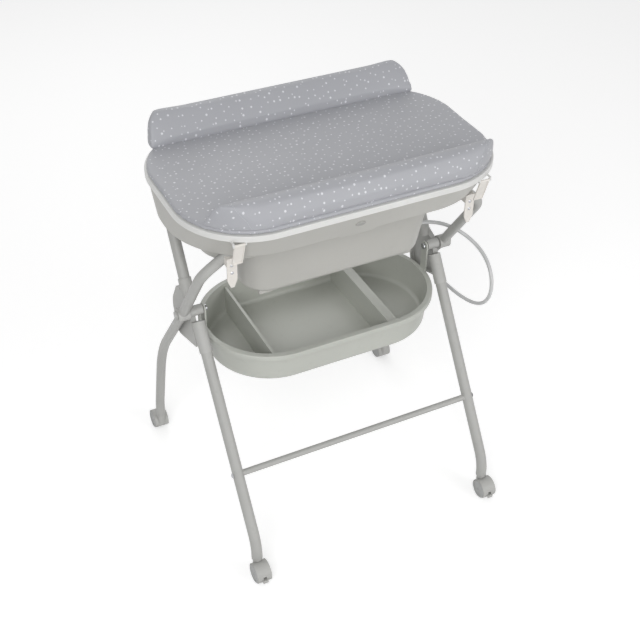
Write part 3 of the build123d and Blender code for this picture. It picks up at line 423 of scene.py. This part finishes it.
def applied(obj):
    graph = bpy.context.evaluated_depsgraph_get()
    mesh = bpy.data.meshes.new_from_object(obj.evaluated_get(graph))
    obj.modifiers.clear()
    old = obj.data
    obj.data = mesh
    bpy.data.meshes.remove(old)
    return obj


mergeGap = 0.02 * mm


def mergedCopy(node, name):
    mesh = bpy.data.meshes.new(name)
    shape = bmesh.new()
    shape.from_mesh(nodes[node].data)
    bmesh.ops.remove_doubles(shape, verts=shape.verts, dist=mergeGap)
    shape.to_mesh(mesh)
    shape.free()
    return linked(name, mesh)


def shrink(obj, depth):
    shape = bmesh.new()
    shape.from_mesh(obj.data)
    bmesh.ops.recalc_face_normals(shape, faces=shape.faces)
    shape.normal_update()
    moves = {vert: vert.normal.copy() * depth for vert in shape.verts}
    for vert, move in moves.items():
        vert.co -= move
    shape.to_mesh(obj.data)
    shape.free()


stuffingSteps = 20
clothQuality = 4


# Blows the cushion up a little, and lets its foot sink into what it is welded to.
def inflated(obj, look):
    rest = [vert.co.copy() for vert in obj.data.vertices]
    cloth = obj.modifiers.new("stuffing", "CLOTH")
    settings = cloth.settings
    settings.use_pressure = True
    settings.uniform_pressure_force = look["pressure"]
    settings.effector_weights.gravity = 0
    settings.quality = clothQuality
    settings.tension_stiffness = look["stiffness"]
    cloth.collision_settings.use_collision = False
    scene = bpy.context.scene
    for step in range(1, stuffingSteps + 1):
        scene.frame_set(step)
    applied(obj)
    scene.frame_set(1)
    low, high = look["low"], look["high"]
    for vert, start in zip(obj.data.vertices, rest):
        move = vert.co - start
        if move.length > look["cap"] * mm:
            move *= look["cap"] * mm / move.length
        vert.co = start + move
        for axis, (least, most) in enumerate(zip(low, high)):
            vert.co[axis] = min(max(vert.co[axis], least), most)
        if start.z < low[2] + look["footing"] * mm:
            vert.co.z = start.z - look["sink"] * mm
    return obj


smoothingShare = 0.5


def cushion(node, look):
    obj = mergedCopy(node, look["name"])
    shrink(obj, look["inset"] * mm)
    remesh = obj.modifiers.new("remesh", "REMESH")
    remesh.mode, remesh.voxel_size = "VOXEL", look["voxel"] * mm
    applied(obj)
    boxLow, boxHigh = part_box(node)
    proud = look["proud"] * mm
    look["low"] = (boxLow.x - proud, boxLow.y - proud, boxLow.z)
    look["high"] = (boxHigh.x + proud, boxHigh.y + proud, boxHigh.z)
    inflated(obj, look)
    smooth = obj.modifiers.new("smooth", "SMOOTH")
    smooth.iterations, smooth.factor = look["softening"], smoothingShare
    fine = obj.modifiers.new("fine", "SUBSURF")
    fine.levels = fine.render_levels = 1
    applied(obj)
    for polygon in obj.data.polygons:
        polygon.use_smooth = True
    return obj


mapLook = {
    "endFacing": 0.8,  # beyond this the face looks along the mat
    "topFacing": 0.6,
    "endShift": 1.3,  # metres that set the ends' and the rim's print apart from the top's
    "rimShift": 0.7,
    "rimRadius": 0.4,
}


# Lays the print on each side of a cushion: across the top by place, down a slope by its real length.
def mapCover(obj, look, ridgeY=None, ridgeZ=None):
    mesh = obj.data
    layer = mesh.uv_layers.new(name="coverMap")
    for polygon in mesh.polygons:
        normal = polygon.normal
        for index in polygon.loop_indices:
            place = mesh.vertices[mesh.loops[index].vertex_index].co
            if abs(normal.x) > look["endFacing"]:
                spot = (place.y + look["endShift"], place.z)
            elif ridgeY is not None:
                fall = math.hypot(place.y - ridgeY, place.z - ridgeZ)
                spot = (place.x, fall if place.y > ridgeY else -fall)
            elif abs(normal.z) > look["topFacing"]:
                spot = (place.x, place.y)
            else:
                around = math.atan2(place.y, place.x) * look["rimRadius"]
                spot = (around, place.z + look["rimShift"])
            layer.data[index].uv = spot


# Millimetres; footing is the height of the foot that sinks, and ridge the place of the print's fold
# from the middle of the bolster's depth.
padLook = {
    "name": "matPad", "inset": 0.8, "voxel": 5.0, "pressure": 1.5, "stiffness": 18.0, "cap": 2.0,
    "proud": 2.0, "softening": 2, "footing": 0.0, "sink": 0.0, "fill": 0.8,
}
frontLook = {
    "name": "frontBolster", "inset": 1.0, "voxel": 4.5, "pressure": 2.0, "stiffness": 14.0, "cap": 3.0,
    "proud": 3.0, "softening": 7, "footing": 4.0, "sink": 4.0, "fill": 0.85, "ridge": -1,
}
backLook = dict(frontLook, name="backBolster", ridge=23)
cushions = {}
for node, look in (("mat_pad", padLook), ("front_bolster", frontLook), ("back_bolster", backLook)):
    obj = cushion(node, look)
    low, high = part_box(node)
    if "ridge" in look:
        mapCover(obj, mapLook, (low.y + high.y) / 2 + look["ridge"] * mm, high.z)
    else:
        mapCover(obj, mapLook)
    obj.data.materials.clear()
    obj.data.materials.append(made["coatedCottonCover"])
    cushions[node] = obj
    print(look["name"], "stuffed")
for node, look in (("mat_pad", padLook), ("front_bolster", frontLook), ("back_bolster", backLook)):
    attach(cushions[node], "changing_top")
    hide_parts(node)

# Seams: a lockstitch follows the surface of the cushion, made by Geometry Nodes

stitchLook = {"length": 3.2, "radius": 0.45, "pitch": 4.6, "sink": 0.1, "sides": 6, "step": 4.0}


def surfaceLine(obj, points, look):
    graph = BVHTree.FromObject(obj, bpy.context.evaluated_depsgraph_get())
    spots = []
    for start, end in zip(points, points[1:]):
        start, end = Vector(start), Vector(end)
        count = max(1, round((end - start).length / (look["step"] * mm)))
        spots += [start.lerp(end, index / count) for index in range(count)]
    line = []
    for spot in spots + [Vector(points[-1])]:
        found, normal, _, _ = graph.find_nearest(spot)
        line.append(found + normal * (look["radius"] - look["sink"]) * mm)
    return line


def stitchTree(look, material):
    tree = bpy.data.node_groups.new("seamStitches", "GeometryNodeTree")
    face = tree.interface
    face.new_socket("Seam", in_out="INPUT", socket_type="NodeSocketGeometry")
    for name, key in (("Pitch", "pitch"), ("Stitch Length", "length"), ("Thread Radius", "radius")):
        face.new_socket(name, in_out="INPUT", socket_type="NodeSocketFloat").default_value = look[key] * mm
    face.new_socket("Stitches", in_out="OUTPUT", socket_type="NodeSocketGeometry")
    group = addNode(tree, "NodeGroupInput")
    spots = addNode(
        tree, "GeometryNodeResampleCurve",
        {"Curve": group.outputs["Seam"], "Length": group.outputs["Pitch"]},
        mode="LENGTH",
    )
    bead = addNode(
        tree, "GeometryNodeMeshCylinder",
        {"Vertices": look["sides"], "Side Segments": 1, "Radius": group.outputs["Thread Radius"],
         "Depth": group.outputs["Stitch Length"]},
    )
    tangent = addNode(tree, "GeometryNodeInputTangent")
    turn = addNode(
        tree, "FunctionNodeAlignRotationToVector", {"Vector": tangent.outputs["Tangent"]}, axis="Z"
    )
    placed = addNode(
        tree, "GeometryNodeInstanceOnPoints",
        {"Points": spots.outputs["Curve"], "Instance": bead.outputs["Mesh"],
         "Rotation": turn.outputs["Rotation"]},
    )
    real = addNode(tree, "GeometryNodeRealizeInstances", {"Geometry": placed.outputs["Instances"]})
    painted = addNode(
        tree, "GeometryNodeSetMaterial", {"Geometry": real.outputs["Geometry"], "Material": material}
    )
    output = addNode(tree, "NodeGroupOutput")
    tree.links.new(painted.outputs["Geometry"], output.inputs["Stitches"])
    return tree


threadLook = dict(finishes["greyRubber"], tint="C3C5C9", shade="B9BBBF", rubTint="ADAFB3", grain=0.4)
made["spunPolyesterThread"] = mouldedFinish("spunPolyesterThread", threadLook)
stitches = stitchTree(stitchLook, made["spunPolyesterThread"])


def stitchedSeam(name, obj, lines):
    curve = bpy.data.curves.new(name, "CURVE")
    curve.dimensions = "3D"
    for line in lines:
        spline = curve.splines.new("POLY")
        spots = surfaceLine(obj, line, stitchLook)
        spline.points.add(len(spots) - 1)
        for point, spot in zip(spline.points, spots):
            point.co = (*spot, 1)
    holder = linked(name + "Line", curve)
    modifier = holder.modifiers.new("stitches", "NODES")
    modifier.node_group = stitches
    bpy.context.view_layer.update()
    mesh = bpy.data.meshes.new_from_object(holder.evaluated_get(bpy.context.evaluated_depsgraph_get()))
    bpy.data.objects.remove(holder)
    seam = linked(name, mesh)
    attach(seam, "changing_top")
    return seam


padSeamLook = {"corner": 178.5, "outside": 1.0, "up": 3.0, "points": 96}


def outlinePoints(low, high, look):
    corner, outside = (look["corner"] + look["outside"]) * mm, look["outside"] * mm
    halfX, halfY = (high.x - low.x) / 2 + outside, (high.y - low.y) / 2 + outside
    middleY = (high.y + low.y) / 2
    points = []
    for index in range(look["points"] + 1):
        angle = 2 * math.pi * index / look["points"]
        x = math.copysign(halfX - corner, math.cos(angle)) + corner * math.cos(angle)
        y = math.copysign(halfY - corner, math.sin(angle)) + corner * math.sin(angle)
        points.append((x, middleY + y, low.z + look["up"] * mm))
    return points


stitchedSeam("padSeam", cushions["mat_pad"], [outlinePoints(*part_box("mat_pad"), padSeamLook)])

# millimetres out from the middle, back from the bolster's front and up from its foot
frontSeamPath = ((336, 54, 60), (314, 37, 60), (289, 12, 22), (284, 2, 4))
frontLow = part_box("front_bolster")[0]
frontSeams = [
    [(side * out * mm, frontLow.y + back * mm, frontLow.z + up * mm) for out, back, up in frontSeamPath]
    for side in (-1, 1)
]
stitchedSeam("frontBolsterSeams", cushions["front_bolster"], frontSeams)

# half length, forward from the bolster's back and up from its foot
backSeamPath = (330, 4, 6)
backLow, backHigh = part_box("back_bolster")
out, forward, up = (value * mm for value in backSeamPath)
backSeam = [(side * out, backHigh.y - forward, backLow.z + up) for side in (-1, 1)]
stitchedSeam("backBolsterSeam", cushions["back_bolster"], [backSeam])
print("seams stitched")

# Drain hose, along the same points as its solid

hosePoints = [
    (0.205, 0.035, 0.686), (0.262, 0.035, 0.686), (0.316, 0.037, 0.678), (0.365, 0.030, 0.661),
    (0.401, 0.004, 0.641), (0.421, -0.038, 0.623), (0.424, -0.084, 0.606), (0.421, -0.118, 0.578),
    (0.419, -0.130, 0.538), (0.419, -0.119, 0.497), (0.420, -0.090, 0.463), (0.421, -0.050, 0.440),
    (0.421, -0.002, 0.426), (0.419, 0.046, 0.420), (0.414, 0.092, 0.423),
]


hoseLook = {"length": 0.669, "diameter": 0.010, "roundness": 6, "steps": 10, "order": 3}


def makeHose(points, look):
    curve = bpy.data.curves.new("drainHose", "CURVE")
    curve.dimensions = "3D"
    curve.bevel_depth, curve.bevel_resolution = look["diameter"] / 2, look["roundness"]
    curve.resolution_u = curve.render_resolution_u = look["steps"]
    curve.use_fill_caps = True
    spline = curve.splines.new("NURBS")
    spline.points.add(len(points) - 1)
    for point, spot in zip(spline.points, points):
        point.co = (*spot, 1)
    spline.order_u = look["order"]
    spline.use_endpoint_u = True
    curve.materials.append(made["milkyVinyl"])
    return linked("drainHose", curve)


hose = makeHose(hosePoints, hoseLook)
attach(hose, "bath")
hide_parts("drain_hose")
print("hose laid")

# Floor, lamps and background


roomLook = {"light": 0.43, "paint": "E6E6E6", "glow": 0.44, "half": 14.0}
white = (1, 1, 1, 1)


# What the camera sees straight or in a gloss is shown white, without more light on the object.
def seenRays(tree):
    path = addNode(tree, "ShaderNodeLightPath")
    seen = addNode(
        tree, "ShaderNodeMath", {0: path.outputs["Is Camera Ray"], 1: path.outputs["Is Glossy Ray"]},
        operation="MAXIMUM",
    )
    return path, seen


def whiteRoom(look):
    world = bpy.data.worlds.new("studio")
    bpy.context.scene.world = world
    world.use_nodes = True
    tree = world.node_tree
    tree.nodes.clear()
    path, seen = seenRays(tree)
    seenThrough = addNode(
        tree, "ShaderNodeMath", {0: seen.outputs[0], 1: path.outputs["Is Transmission Ray"]},
        operation="MAXIMUM",
    )
    light = addNode(tree, "ShaderNodeBackground", {"Color": white, "Strength": look["light"]})
    shown = addNode(tree, "ShaderNodeBackground", {"Color": white, "Strength": 1.0})
    mix = addNode(
        tree, "ShaderNodeMixShader", {0: seenThrough.outputs[0], 1: light.outputs[0], 2: shown.outputs[0]}
    )
    output = addNode(tree, "ShaderNodeOutputWorld")
    tree.links.new(mix.outputs[0], output.inputs["Surface"])


def whiteFloor(look):
    material, tree = newMaterial("matPaintedFloor")
    _, seen = seenRays(tree)
    strength = addNode(tree, "ShaderNodeMath", {0: seen.outputs[0], 1: look["glow"]}, operation="MULTIPLY")
    paint = addNode(tree, "ShaderNodeBsdfDiffuse", {"Color": hexColour(look["paint"])})
    lit = addNode(tree, "ShaderNodeEmission", {"Color": white, "Strength": strength.outputs[0]})
    both = addNode(tree, "ShaderNodeAddShader", {0: paint.outputs[0], 1: lit.outputs[0]})
    output = addNode(tree, "ShaderNodeOutputMaterial")
    tree.links.new(both.outputs[0], output.inputs["Surface"])
    mesh = bpy.data.meshes.new("studioFloor")
    half = look["half"]
    corners = [(-half, -half, 0), (half, -half, 0), (half, half, 0), (-half, half, 0)]
    mesh.from_pydata(corners, [], [range(len(corners))])
    mesh.materials.append(material)
    linked("studioFloor", mesh)


whiteRoom(roomLook)
whiteFloor(roomLook)
for name, look in lampLook.items():
    makeLamp(name, look)
makeCamera(cameraLook)
bpy.context.scene.view_settings.view_transform = "Standard"
print("studio set")
